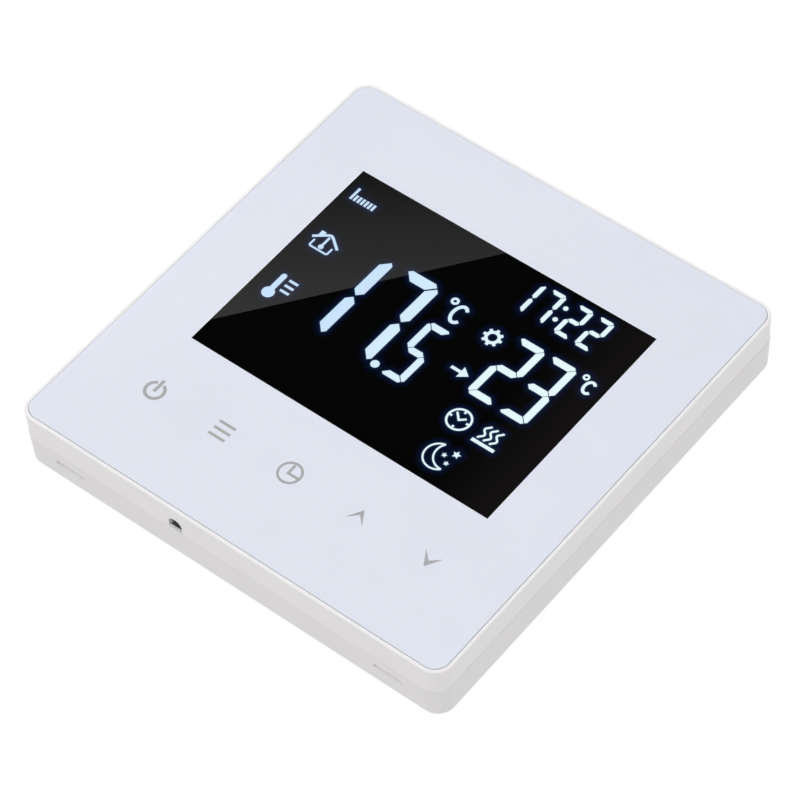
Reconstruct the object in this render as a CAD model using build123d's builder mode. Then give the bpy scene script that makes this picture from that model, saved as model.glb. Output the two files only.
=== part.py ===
from build123d import *
from math import radians, tan
import os

os.makedirs("parts", exist_ok=True)

# Wall thermostat for a flush wall box. All sizes are in millimetres.
# X runs to the right, Z up the wall, and -Y out into the room. The wall is the plane Y = 0.
# A height is measured off the wall: positive in the room, negative inside the wall box.

# Case
plate_width = 86.0
plate_height = 88.5
body_depth = 11.55
cover_depth = 5.15
cover_draft = 1.15
base_draft = 2.0
corner_radius = 3.3
rim_fillet = 0.25
cover_wall = 1.6
base_step = 0.1
floor_thickness = 1.6

# Glass and the face that carries it
rim_width = 0.6
glass_thickness = 1.5
glass_proud = 0.15
glass_gap = 0.12
glass_chamfer = 0.2
face_thickness = 1.2

# Lip and tongues that locate the cover on the base
lip_rise = 1.0
lip_thickness = 0.8
lip_clearance = 0.15
tongue_spacing = 65.3
tongue_width = 5.2
tongue_thickness = 1.3
tongue_clearance = 0.2
tongue_floor_gap = 0.6
tongue_chamfer = 0.5
pry_slot_length = 5.8
pry_slot_width = 1.0
pry_slot_level = 3.65
pry_slot_depth = 0.5

# Air hole for the room sensor
vent_x = -9.95
vent_width = 2.7
vent_height = 2.5
vent_clearance = 0.3
vent_wall = 0.5
vent_pocket_depth = 3.0

# Display stack
lcd_width = 64.0
lcd_height = 48.0
lcd_thickness = 2.2
lcd_centre_z = 6.15
lcd_clearance = 0.2
frame_wall = 1.4
frame_clearance = 0.1
guide_thickness = 2.0
lamp_count = 3
lamp_pitch = 14.0
lamp_length = 3.6
lamp_width = 1.2
lamp_height = 1.2
lamp_clearance = 0.2

# Touch keys
key_count = 5
key_pitch = 14.0
key_row_z = -27.7
pad_size = 8.0
pad_clearance = 0.5

# Display board and what it carries
board_thickness = 1.6
board_corner = 1.5
display_board_clearance = 0.35
cover_boss_inset = 3.0
cover_boss_radius = 2.5
cover_screw_radius = 1.0
cover_screw_head_radius = 1.9
cover_screw_head_height = 1.2
screw_clearance = 0.02
screw_pass_clearance = 0.15
screw_tip_gap = 0.4
chip_size = 7.0
chip_thickness = 1.2
chip_x = -12.0
chip_inset = 12.0
sensor_bead_radius = 1.0
sensor_wire_size = 0.4
sensor_wire_spacing = 1.0
sensor_board_inset = 1.5
sensor_face_gap = 0.3
sensor_drop = 0.5

# Pin and socket headers
header_columns = 5
header_rows = 2
header_pitch = 2.54
header_z = -12.0
header_body_height = 2.5
header_pin_size = 0.64
header_pin_reach = 6.0
header_gap = 0.1
socket_height = 8.5
socket_bore_clearance = 0.15
socket_bore_gap = 0.3

# Insert that goes into the wall box
insert_width = 49.2
insert_height = 46.0
insert_depth = 26.6
insert_wall = 1.6
insert_corner = 3.0
insert_edge = 1.0

# Mounting plate and its screws
mount_spacing = 60.0
mount_slot_width = 4.4
mount_slot_length = 8.4
mount_plate_width = 72.0
mount_plate_height = 56.0
mount_plate_corner = 3.0
mount_plate_thickness = 0.8
plate_window_gap = 0.8
post_size = 6.0
post_board_gap = 0.2
plate_screw_radius = 1.25
plate_screw_length = 8.0
plate_screw_head_radius = 2.4
plate_screw_head_height = 1.0

# Power board and its screws
power_board_clearance = 0.2
pillar_size = 5.6
pillar_z = 8.0
board_screw_radius = 1.0
board_screw_length = 6.0
board_screw_head_radius = 1.9
board_screw_head_height = 1.2

# Parts on the power board: width, height along Z, depth, and the centre along X
relay_width = 19.0
relay_height = 15.5
relay_depth = 15.3
relay_x = -6.5
relay_edge = 0.6
transformer_width = 13.0
transformer_height = 13.0
transformer_depth = 13.5
transformer_core_width = 6.0
transformer_flange = 2.0
transformer_winding_inset = 1.2
transformer_x = 12.5
film_width = 13.0
film_height = 6.0
film_depth = 12.0
film_edge = 0.5
film_x = -8.5
can_radius = 4.0
can_depth = 12.0
can_first_x = 4.5
can_spacing = 8.5
varistor_radius = 4.5
varistor_thickness = 4.2
varistor_lift = 1.5
varistor_x = -19.7
lead_radius = 0.35
lead_spacing = 5.0
fuse_width = 8.5
fuse_height = 4.0
fuse_depth = 8.0
fuse_edge = 0.5
fuse_x = -8.5
power_chip_width = 9.4
power_chip_height = 6.4
power_chip_thickness = 3.4
power_chip_x = -9.0
power_chip_z = 6.0

# Terminal block with rising cages
terminal_ways = 6
terminal_pitch = 7.5
terminal_height = 12.0
terminal_recess = 0.3
terminal_clearance = 0.2
terminal_rear_wall = 1.0
terminal_wire_wall = 2.2
screw_head_recess = 0.4
terminal_screw_head_radius = 2.5
terminal_screw_head_height = 1.9
terminal_screw_radius = 1.5
terminal_screw_slot_width = 0.8
terminal_screw_slot_depth = 0.9
terminal_shelf = 1.6
running_clearance = 0.1
thread_clearance = 0.05
seat_gap = 0.05
cage_width = 5.6
cage_length = 8.2
cage_top = 2.2
cage_wall = 0.9
cage_base = 1.2
cage_depth = 6.8
cage_travel = 2.5
cage_end_gap = 0.4
cage_side_clearance = 0.15
cage_wire_clearance = 0.3
contact_thickness = 1.0
contact_width = 3.0
contact_gap = 0.4
contact_tip_gap = 0.7
wire_entry_size = 3.6
wire_entry_chamfer = 0.5

# Heights off the wall, worked out from the front inwards
parting = body_depth - cover_depth
glass_front = body_depth + glass_proud
glass_back = glass_front - glass_thickness
face_back = glass_back - face_thickness
lcd_back = glass_back - lcd_thickness
display_board_front = lcd_back - guide_thickness
display_board_back = display_board_front - board_thickness
sensor_level = face_back - sensor_face_gap - sensor_bead_radius
header_body_back = display_board_back - header_body_height
socket_front = header_body_back - header_gap
power_board_front = socket_front - socket_height
power_board_back = power_board_front - board_thickness
insert_floor = insert_wall - insert_depth
plate_front = floor_thickness + mount_plate_thickness
tongue_end = floor_thickness + tongue_floor_gap

# Outlines, worked out from the outside inwards
cover_slope = tan(radians(cover_draft))
base_slope = tan(radians(base_draft))
base_inset = cover_slope * cover_depth - base_step
base_width = plate_width - 2 * base_inset
base_height = plate_height - 2 * base_inset
pry_slot_inset = base_inset + base_slope * (parting - pry_slot_level)
recess_width = plate_width - 2 * rim_width
recess_height = plate_height - 2 * rim_width
recess_corner = corner_radius - rim_width
glass_width = recess_width - 2 * glass_gap
glass_height = recess_height - 2 * glass_gap
cavity_width = plate_width - 2 * cover_wall
cavity_height = plate_height - 2 * cover_wall
cavity_corner = corner_radius - cover_wall
lip_width = cavity_width - 2 * lip_clearance
lip_height = cavity_height - 2 * lip_clearance
lip_corner = cavity_corner - lip_clearance
tray_width = lip_width - 2 * lip_thickness
tray_height = lip_height - 2 * lip_thickness
tray_corner = lip_corner - lip_thickness
tongue_centre_z = tray_height / 2 - tongue_clearance - tongue_thickness / 2
display_board_width = tray_width - 2 * display_board_clearance
display_board_height = 2 * tongue_centre_z - tongue_thickness - 2 * display_board_clearance
cover_boss_spacing_x = display_board_width - 2 * cover_boss_inset
cover_boss_spacing_z = display_board_height - 2 * cover_boss_inset
chip_z = display_board_height / 2 - chip_inset
key_opening = pad_size + 2 * pad_clearance
frame_inner_width = lcd_width + 2 * frame_clearance
frame_inner_height = lcd_height + 2 * frame_clearance
frame_outer_width = frame_inner_width + 2 * frame_wall
frame_outer_height = frame_inner_height + 2 * frame_wall
lamp_notch_depth = lamp_width + lamp_clearance
lamp_notch_length = lamp_length + 2 * lamp_clearance
header_width = header_columns * header_pitch
header_height = header_rows * header_pitch
plate_window_width = header_width + 2 * plate_window_gap
plate_window_height = header_height + 2 * plate_window_gap
inner_width = insert_width - 2 * insert_wall
inner_height = insert_height - 2 * insert_wall
inner_corner = insert_corner - insert_wall
post_spacing_x = inner_width - post_size
post_spacing_z = inner_height - post_size
power_board_width = inner_width - 2 * power_board_clearance
power_board_height = inner_height - 2 * power_board_clearance
board_notch = post_size + 2 * power_board_clearance
pillar_spacing = inner_width - pillar_size

# Terminal block, worked out from its rear face towards the power board
terminal_width = terminal_ways * terminal_pitch
terminal_back = terminal_recess - insert_depth
terminal_bottom = terminal_clearance - insert_height / 2
terminal_top = terminal_bottom + terminal_height
terminal_centre_z = (terminal_bottom + terminal_top) / 2
head_back = terminal_back + screw_head_recess
head_front = head_back + terminal_screw_head_height
shelf_back = head_front + seat_gap
shelf_front = shelf_back + terminal_shelf
cage_rear = shelf_front + cage_end_gap + cage_travel
cage_window_rear = cage_rear + cage_top
cage_window_front = cage_rear + cage_length - cage_base
contact_rear = cage_window_rear + contact_gap
contact_front = contact_rear + contact_thickness
screw_tip = contact_rear - seat_gap
pocket_bottom = terminal_bottom + terminal_wire_wall
pocket_top = terminal_top - terminal_rear_wall
cage_bottom = pocket_bottom + cage_wire_clearance
screw_z = cage_bottom + cage_depth / 2
contact_bottom = cage_bottom + contact_tip_gap
pocket_width = cage_width + 2 * cage_side_clearance
wire_entry_level = (contact_front + cage_window_front) / 2

# Parts behind the power board, with four even gaps from the terminal block to the insert's top wall
column_height = inner_height / 2 - terminal_top
column_gap = (column_height - relay_height - film_height - fuse_height) / 4
relay_z = terminal_top + column_gap + relay_height / 2
transformer_z = terminal_top + column_gap + transformer_height / 2
varistor_z = terminal_top + column_gap + varistor_radius
film_z = relay_z + relay_height / 2 + column_gap + film_height / 2
can_z = relay_z + relay_height / 2 + column_gap + can_radius
fuse_z = inner_height / 2 - column_gap - fuse_height / 2


def facing(height, x=0.0, z=0.0):
    """A plane parallel to the wall at a height off it, seen from the room."""
    return Plane(origin=(x, -height, z), x_dir=(1, 0, 0), z_dir=(0, -1, 0))


def underside(height, x=0.0, z=-plate_height / 2):
    """A plane seen from below, whose local Y runs off the wall."""
    return Plane(origin=(x, -height, z), x_dir=(1, 0, 0), z_dir=(0, 0, -1))


def sideways(x, height, z):
    """A plane seen from the right, whose local X runs up and whose local Y runs off the wall."""
    return Plane(origin=(x, -height, z), x_dir=(0, 0, 1), z_dir=(1, 0, 0))


def way_x(number):
    """The centre of a terminal way, counted from 1 at the left."""
    return (number - (terminal_ways + 1) / 2) * terminal_pitch


# Rear base: drafted rim, tray, locating lip, pry slots and the insert with its posts and pillars
with BuildPart() as rear_base:
    with BuildSketch(facing(parting)):
        RectangleRounded(base_width, base_height, corner_radius - base_inset)
    extrude(amount=-parting, taper=base_draft)
    with BuildSketch(facing(parting)):
        RectangleRounded(lip_width, lip_height, lip_corner)
    extrude(amount=lip_rise)
    with BuildSketch(facing(floor_thickness)):
        RectangleRounded(tray_width, tray_height, tray_corner)
    extrude(amount=parting + lip_rise - floor_thickness, mode=Mode.SUBTRACT)
    with BuildSketch(facing(0)):
        RectangleRounded(insert_width, insert_height, insert_corner)
    extrude(amount=-insert_depth)
    chamfer(rear_base.edges().group_by(Axis.Y)[-1], length=insert_edge)
    with BuildSketch(facing(floor_thickness)):
        RectangleRounded(inner_width, inner_height, inner_corner)
    extrude(amount=insert_floor - floor_thickness, mode=Mode.SUBTRACT)
    with BuildSketch(facing(floor_thickness, z=post_spacing_z / 2)):
        with GridLocations(post_spacing_x, post_size, 2, 1):
            Rectangle(post_size, post_size)
    extrude(amount=insert_floor - floor_thickness)
    with BuildSketch(facing(floor_thickness, z=-post_spacing_z / 2)):
        with GridLocations(post_spacing_x, post_size, 2, 1):
            Rectangle(post_size, post_size)
    extrude(amount=power_board_front + post_board_gap - floor_thickness)
    with BuildSketch(facing(insert_floor, z=pillar_z)):
        with GridLocations(pillar_spacing, pillar_size, 2, 1):
            Rectangle(pillar_size, pillar_size)
    extrude(amount=power_board_back - insert_floor)
    with BuildSketch(facing(floor_thickness)):
        with GridLocations(post_spacing_x, post_spacing_z, 2, 2):
            Circle(plate_screw_radius + screw_clearance)
    extrude(amount=mount_plate_thickness - plate_screw_length - screw_tip_gap, mode=Mode.SUBTRACT)
    with BuildSketch(facing(power_board_back, z=pillar_z)):
        with GridLocations(pillar_spacing, pillar_size, 2, 1):
            Circle(board_screw_radius + screw_clearance)
    extrude(amount=board_thickness - board_screw_length - screw_tip_gap, mode=Mode.SUBTRACT)
    with BuildSketch(facing(floor_thickness)):
        with GridLocations(mount_spacing, mount_slot_width, 2, 1):
            SlotOverall(mount_slot_length, mount_slot_width)
    extrude(amount=-floor_thickness, mode=Mode.SUBTRACT)
    notch_bottom = -insert_height / 2 - terminal_clearance
    notch_height = terminal_top + terminal_clearance - notch_bottom
    with BuildSketch(facing(-insert_depth, z=notch_bottom + notch_height / 2)):
        Rectangle(terminal_width + 2 * terminal_clearance, notch_height)
    extrude(amount=insert_depth + power_board_back, mode=Mode.SUBTRACT)
    with BuildSketch(underside(pry_slot_level)):
        with GridLocations(tongue_spacing, pry_slot_width, 2, 1):
            Rectangle(pry_slot_length, pry_slot_width)
    extrude(amount=-pry_slot_inset - pry_slot_depth, mode=Mode.SUBTRACT)
    pocket_outer = base_height / 2 - vent_wall
    pocket_inner = tray_height / 2 - lip_thickness
    with BuildSketch(facing(parting + lip_rise, x=vent_x, z=-(pocket_outer + pocket_inner) / 2)):
        Rectangle(vent_width + 2 * vent_clearance, pocket_outer - pocket_inner)
    extrude(amount=-lip_rise - vent_pocket_depth, mode=Mode.SUBTRACT)
rear_base.part.label = "rear_base"
export_step(rear_base.part, "parts/rear_base.step")

# Front cover: drafted shell with the glass recess, display window, key openings, bosses and tongues
with BuildPart() as front_cover:
    with BuildSketch(facing(body_depth)):
        RectangleRounded(plate_width, plate_height, corner_radius)
    extrude(amount=-cover_depth, taper=cover_draft)
    fillet(front_cover.edges().group_by(Axis.Y)[0], radius=rim_fillet)
    with BuildSketch(facing(body_depth)):
        RectangleRounded(recess_width, recess_height, recess_corner)
    extrude(amount=glass_back - body_depth, mode=Mode.SUBTRACT)
    with BuildSketch(facing(parting)):
        RectangleRounded(cavity_width, cavity_height, cavity_corner)
    extrude(amount=face_back - parting, mode=Mode.SUBTRACT)
    with BuildSketch(facing(face_back, z=lcd_centre_z)):
        Rectangle(lcd_width + 2 * lcd_clearance, lcd_height + 2 * lcd_clearance)
    extrude(amount=face_thickness, mode=Mode.SUBTRACT)
    with BuildSketch(facing(face_back, z=key_row_z)):
        with GridLocations(key_pitch, key_pitch, key_count, 1):
            Rectangle(key_opening, key_opening)
    extrude(amount=face_thickness, mode=Mode.SUBTRACT)
    with BuildSketch(facing(face_back)):
        with GridLocations(cover_boss_spacing_x, cover_boss_spacing_z, 2, 2):
            Circle(cover_boss_radius)
            Circle(cover_screw_radius + screw_clearance, mode=Mode.SUBTRACT)
    extrude(amount=display_board_front - face_back)
    with BuildSketch(facing(face_back)):
        with GridLocations(tongue_spacing, 2 * tongue_centre_z, 2, 2):
            Rectangle(tongue_width, tongue_thickness)
    extrude(amount=tongue_end - face_back)
    tongue_tips = front_cover.faces().filter_by(Axis.Y).group_by(Axis.Y)[-1]
    chamfer(tongue_tips.edges().filter_by(Axis.X), length=tongue_chamfer)
    vent_straight = vent_height - vent_width / 2
    with BuildSketch(underside(parting, x=vent_x)):
        with Locations((0, vent_straight / 2)):
            Rectangle(vent_width, vent_straight)
        with Locations((0, vent_straight)):
            Circle(vent_width / 2)
    extrude(amount=-cover_wall, mode=Mode.SUBTRACT)
front_cover.part.label = "front_cover"
export_step(front_cover.part, "parts/front_cover.step")

# Front glass, set in the cover's rim
with BuildPart() as front_glass:
    with BuildSketch(facing(glass_back)):
        RectangleRounded(glass_width, glass_height, recess_corner - glass_gap)
    extrude(amount=glass_thickness)
    chamfer(front_glass.edges().group_by(Axis.Y)[0], length=glass_chamfer)
front_glass.part.label = "front_glass"
export_step(front_glass.part, "parts/front_glass.step")

# Display panel, against the glass
with BuildPart() as lcd_panel:
    with BuildSketch(facing(lcd_back, z=lcd_centre_z)):
        Rectangle(lcd_width, lcd_height)
    extrude(amount=lcd_thickness)
lcd_panel.part.label = "lcd_panel"
export_step(lcd_panel.part, "parts/lcd_panel.step")

# Frame round the display panel and its light guide
with BuildPart() as lcd_frame:
    with BuildSketch(facing(display_board_front, z=lcd_centre_z)):
        Rectangle(frame_outer_width, frame_outer_height)
        Rectangle(frame_inner_width, frame_inner_height, mode=Mode.SUBTRACT)
    extrude(amount=face_back - frame_clearance - display_board_front)
lcd_frame.part.label = "lcd_frame"
export_step(lcd_frame.part, "parts/lcd_frame.step")

# Light guide, notched for the lamps at its left edge
with BuildPart() as light_guide:
    with BuildSketch(facing(display_board_front, z=lcd_centre_z)):
        Rectangle(lcd_width, lcd_height)
        with Locations((-lcd_width / 2, 0)):
            with GridLocations(lamp_pitch, lamp_pitch, 1, lamp_count):
                Rectangle(2 * lamp_notch_depth, lamp_notch_length, mode=Mode.SUBTRACT)
    extrude(amount=guide_thickness)
light_guide.part.label = "light_guide"
export_step(light_guide.part, "parts/light_guide.step")

# Backlight lamps, on the display board in the light guide's notches
with BuildPart() as backlight_lamps:
    with BuildSketch(facing(display_board_front, x=(lamp_width - lcd_width) / 2, z=lcd_centre_z)):
        with GridLocations(lamp_pitch, lamp_pitch, 1, lamp_count):
            Rectangle(lamp_width, lamp_length)
    extrude(amount=lamp_height)
backlight_lamps.part.label = "backlight_lamps"
export_step(backlight_lamps.part, "parts/backlight_lamps.step")

# Display board on the cover's four bosses
with BuildPart() as display_board:
    with BuildSketch(facing(display_board_back)):
        RectangleRounded(display_board_width, display_board_height, board_corner)
        with GridLocations(cover_boss_spacing_x, cover_boss_spacing_z, 2, 2):
            Circle(cover_screw_radius + screw_pass_clearance, mode=Mode.SUBTRACT)
    extrude(amount=board_thickness)
display_board.part.label = "display_board"
export_step(display_board.part, "parts/display_board.step")

# Four screws that hold the display board to the cover
with BuildPart() as display_board_screws:
    with BuildSketch(facing(display_board_back)):
        with GridLocations(cover_boss_spacing_x, cover_boss_spacing_z, 2, 2):
            Circle(cover_screw_head_radius)
    extrude(amount=-cover_screw_head_height)
    with BuildSketch(facing(display_board_back)):
        with GridLocations(cover_boss_spacing_x, cover_boss_spacing_z, 2, 2):
            Circle(cover_screw_radius)
    extrude(amount=face_back - screw_tip_gap - display_board_back)
display_board_screws.part.label = "display_board_screws"
export_step(display_board_screws.part, "parts/display_board_screws.step")

# Touch pads: foam columns from the display board to the glass
with BuildPart() as touch_pads:
    with BuildSketch(facing(display_board_front, z=key_row_z)):
        with GridLocations(key_pitch, key_pitch, key_count, 1):
            Rectangle(pad_size, pad_size)
    extrude(amount=glass_back - display_board_front)
touch_pads.part.label = "touch_pads"
export_step(touch_pads.part, "parts/touch_pads.step")

# Controller chip on the display board's rear
with BuildPart() as controller_chip:
    with BuildSketch(facing(display_board_back, x=chip_x, z=chip_z)):
        Rectangle(chip_size, chip_size)
    extrude(amount=-chip_thickness)
controller_chip.part.label = "controller_chip"
export_step(controller_chip.part, "parts/controller_chip.step")

# Room sensor: a bead on two bent leads, behind the air hole
sensor_foot_z = sensor_board_inset - display_board_height / 2
sensor_bead_z = -display_board_height / 2 - sensor_drop
lead_top = sensor_level + sensor_wire_size / 2
with BuildPart() as room_sensor:
    with BuildSketch(underside(sensor_level, x=vent_x, z=sensor_bead_z + sensor_bead_radius)):
        Circle(sensor_bead_radius)
    extrude(amount=2 * sensor_bead_radius)
    with BuildSketch(facing(display_board_front, x=vent_x, z=sensor_foot_z)):
        with GridLocations(sensor_wire_spacing, sensor_wire_spacing, 2, 1):
            Rectangle(sensor_wire_size, sensor_wire_size)
    extrude(amount=lead_top - display_board_front)
    with BuildSketch(underside(sensor_level, x=vent_x, z=sensor_foot_z)):
        with GridLocations(sensor_wire_spacing, sensor_wire_spacing, 2, 1):
            Rectangle(sensor_wire_size, sensor_wire_size)
    extrude(amount=sensor_foot_z - sensor_bead_z)
room_sensor.part.label = "room_sensor"
export_step(room_sensor.part, "parts/room_sensor.step")

# Pin header's body on the display board's rear
with BuildPart() as header_body:
    with BuildSketch(facing(display_board_back, z=header_z)):
        Rectangle(header_width, header_height)
        with GridLocations(header_pitch, header_pitch, header_columns, header_rows):
            Rectangle(header_pin_size, header_pin_size, mode=Mode.SUBTRACT)
    extrude(amount=-header_body_height)
header_body.part.label = "header_body"
export_step(header_body.part, "parts/header_body.step")

# Pins of the header, which reach into the socket
with BuildPart() as header_pins:
    with BuildSketch(facing(display_board_back, z=header_z)):
        with GridLocations(header_pitch, header_pitch, header_columns, header_rows):
            Rectangle(header_pin_size, header_pin_size)
    extrude(amount=-header_body_height - header_pin_reach)
header_pins.part.label = "header_pins"
export_step(header_pins.part, "parts/header_pins.step")

# Socket header on the power board's front
socket_bore = header_pin_size + 2 * socket_bore_clearance
with BuildPart() as socket_header:
    with BuildSketch(facing(power_board_front, z=header_z)):
        Rectangle(header_width, header_height)
    extrude(amount=socket_height)
    with BuildSketch(facing(socket_front, z=header_z)):
        with GridLocations(header_pitch, header_pitch, header_columns, header_rows):
            Rectangle(socket_bore, socket_bore)
    extrude(amount=-header_pin_reach - socket_bore_gap, mode=Mode.SUBTRACT)
socket_header.part.label = "socket_header"
export_step(socket_header.part, "parts/socket_header.step")

# Sheet-steel mounting plate on the base's floor
with BuildPart() as mounting_plate:
    with BuildSketch(facing(floor_thickness)):
        RectangleRounded(mount_plate_width, mount_plate_height, mount_plate_corner)
        with GridLocations(mount_spacing, mount_slot_width, 2, 1):
            SlotOverall(mount_slot_length, mount_slot_width, mode=Mode.SUBTRACT)
        with GridLocations(post_spacing_x, post_spacing_z, 2, 2):
            Circle(plate_screw_radius + screw_pass_clearance, mode=Mode.SUBTRACT)
        with Locations((0, header_z)):
            Rectangle(plate_window_width, plate_window_height, mode=Mode.SUBTRACT)
    extrude(amount=mount_plate_thickness)
mounting_plate.part.label = "mounting_plate"
export_step(mounting_plate.part, "parts/mounting_plate.step")

# Four screws that hold the mounting plate to the insert's posts
with BuildPart() as mounting_plate_screws:
    with BuildSketch(facing(plate_front)):
        with GridLocations(post_spacing_x, post_spacing_z, 2, 2):
            Circle(plate_screw_head_radius)
    extrude(amount=plate_screw_head_height)
    with BuildSketch(facing(plate_front)):
        with GridLocations(post_spacing_x, post_spacing_z, 2, 2):
            Circle(plate_screw_radius)
    extrude(amount=-plate_screw_length)
mounting_plate_screws.part.label = "mounting_plate_screws"
export_step(mounting_plate_screws.part, "parts/mounting_plate_screws.step")

# Power board, notched round the insert's posts
with BuildPart() as power_board:
    with BuildSketch(facing(power_board_back)):
        Rectangle(power_board_width, power_board_height)
        with GridLocations(post_spacing_x, post_spacing_z, 2, 2):
            Rectangle(board_notch, board_notch, mode=Mode.SUBTRACT)
        with Locations((0, pillar_z)):
            with GridLocations(pillar_spacing, pillar_size, 2, 1):
                Circle(board_screw_radius + screw_pass_clearance, mode=Mode.SUBTRACT)
    extrude(amount=board_thickness)
power_board.part.label = "power_board"
export_step(power_board.part, "parts/power_board.step")

# Two screws that hold the power board to the insert's pillars
with BuildPart() as power_board_screws:
    with BuildSketch(facing(power_board_front, z=pillar_z)):
        with GridLocations(pillar_spacing, pillar_size, 2, 1):
            Circle(board_screw_head_radius)
    extrude(amount=board_screw_head_height)
    with BuildSketch(facing(power_board_front, z=pillar_z)):
        with GridLocations(pillar_spacing, pillar_size, 2, 1):
            Circle(board_screw_radius)
    extrude(amount=-board_screw_length)
power_board_screws.part.label = "power_board_screws"
export_step(power_board_screws.part, "parts/power_board_screws.step")

# Relay that switches the heating
with BuildPart() as relay:
    with BuildSketch(facing(power_board_back, x=relay_x, z=relay_z)):
        Rectangle(relay_width, relay_height)
    extrude(amount=-relay_depth)
    chamfer(relay.edges().filter_by(Axis.Y), length=relay_edge)
relay.part.label = "relay"
export_step(relay.part, "parts/relay.step")

# Transformer: an upright core with a winding between two flanges
with BuildPart() as transformer:
    with BuildSketch(facing(power_board_back, x=transformer_x, z=transformer_z)):
        Rectangle(transformer_width, transformer_height)
    extrude(amount=-transformer_flange)
    with BuildSketch(facing(power_board_back - transformer_depth, x=transformer_x, z=transformer_z)):
        Rectangle(transformer_width, transformer_height)
    extrude(amount=transformer_flange)
    with BuildSketch(facing(power_board_back, x=transformer_x, z=transformer_z)):
        Circle(transformer_width / 2 - transformer_winding_inset)
        Rectangle(transformer_core_width, transformer_height)
    extrude(amount=-transformer_depth)
transformer.part.label = "transformer"
export_step(transformer.part, "parts/transformer.step")

# Film capacitor that suppresses interference on the mains
with BuildPart() as suppression_capacitor:
    with BuildSketch(facing(power_board_back, x=film_x, z=film_z)):
        Rectangle(film_width, film_height)
    extrude(amount=-film_depth)
    chamfer(suppression_capacitor.edges().filter_by(Axis.Y), length=film_edge)
suppression_capacitor.part.label = "suppression_capacitor"
export_step(suppression_capacitor.part, "parts/suppression_capacitor.step")

# Two electrolytic capacitors
with BuildPart() as electrolytic_capacitors:
    with BuildSketch(facing(power_board_back, z=can_z)):
        with Locations((can_first_x, 0), (can_first_x + can_spacing, 0)):
            Circle(can_radius)
    extrude(amount=-can_depth)
electrolytic_capacitors.part.label = "electrolytic_capacitors"
export_step(electrolytic_capacitors.part, "parts/electrolytic_capacitors.step")

# Varistor: an upright disc on two leads
varistor_level = power_board_back - varistor_lift - varistor_radius
with BuildPart() as varistor:
    with BuildSketch(sideways(varistor_x - varistor_thickness / 2, varistor_level, varistor_z)):
        Circle(varistor_radius)
    extrude(amount=varistor_thickness)
    with BuildSketch(facing(power_board_back, x=varistor_x, z=varistor_z)):
        with GridLocations(lead_spacing, lead_spacing, 1, 2):
            Circle(lead_radius)
    extrude(amount=-varistor_lift - varistor_radius)
varistor.part.label = "varistor"
export_step(varistor.part, "parts/varistor.step")

# Fuse in its moulded case
with BuildPart() as fuse:
    with BuildSketch(facing(power_board_back, x=fuse_x, z=fuse_z)):
        Rectangle(fuse_width, fuse_height)
    extrude(amount=-fuse_depth)
    chamfer(fuse.edges().filter_by(Axis.Y), length=fuse_edge)
fuse.part.label = "fuse"
export_step(fuse.part, "parts/fuse.step")

# Power supply chip on the power board's front
with BuildPart() as power_chip:
    with BuildSketch(facing(power_board_front, x=power_chip_x, z=power_chip_z)):
        Rectangle(power_chip_width, power_chip_height)
    extrude(amount=power_chip_thickness)
power_chip.part.label = "power_chip"
export_step(power_chip.part, "parts/power_chip.step")

# Terminal block: screw wells at the rear, cage pockets open to the board, wire entries below
with BuildPart() as terminal_block:
    with BuildSketch(facing(terminal_back, z=terminal_centre_z)):
        Rectangle(terminal_width, terminal_height)
    extrude(amount=power_board_back - terminal_back)
    with BuildSketch(facing(terminal_back, z=screw_z)):
        with GridLocations(terminal_pitch, terminal_pitch, terminal_ways, 1):
            Circle(terminal_screw_head_radius + running_clearance)
    extrude(amount=shelf_back - terminal_back, mode=Mode.SUBTRACT)
    with BuildSketch(facing(shelf_back, z=screw_z)):
        with GridLocations(terminal_pitch, terminal_pitch, terminal_ways, 1):
            Circle(terminal_screw_radius + running_clearance)
    extrude(amount=terminal_shelf, mode=Mode.SUBTRACT)
    with BuildSketch(facing(shelf_front, z=(pocket_bottom + pocket_top) / 2)):
        with GridLocations(terminal_pitch, terminal_pitch, terminal_ways, 1):
            Rectangle(pocket_width, pocket_top - pocket_bottom)
    extrude(amount=power_board_back - shelf_front, mode=Mode.SUBTRACT)
    with BuildSketch(underside(wire_entry_level, z=terminal_bottom)):
        with GridLocations(terminal_pitch, terminal_pitch, terminal_ways, 1):
            Rectangle(wire_entry_size, wire_entry_size)
    extrude(amount=-terminal_wire_wall, mode=Mode.SUBTRACT)
    wire_mouths = terminal_block.faces().sort_by(Axis.Z)[0].inner_wires().edges()
    chamfer(wire_mouths, length=wire_entry_chamfer)
terminal_block.part.label = "terminal_block"
export_step(terminal_block.part, "parts/terminal_block.step")

# Contacts: a leg on the power board and a bar that reaches into each cage
with BuildPart() as terminal_contacts:
    with BuildSketch(facing(contact_rear, z=(contact_bottom + pocket_top) / 2)):
        with GridLocations(terminal_pitch, terminal_pitch, terminal_ways, 1):
            Rectangle(contact_width, pocket_top - contact_bottom)
    extrude(amount=contact_thickness)
    with BuildSketch(facing(contact_rear, z=pocket_top - contact_thickness / 2)):
        with GridLocations(terminal_pitch, terminal_pitch, terminal_ways, 1):
            Rectangle(contact_width, contact_thickness)
    extrude(amount=power_board_back - contact_rear)
terminal_contacts.part.label = "terminal_contacts"
export_step(terminal_contacts.part, "parts/terminal_contacts.step")

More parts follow.
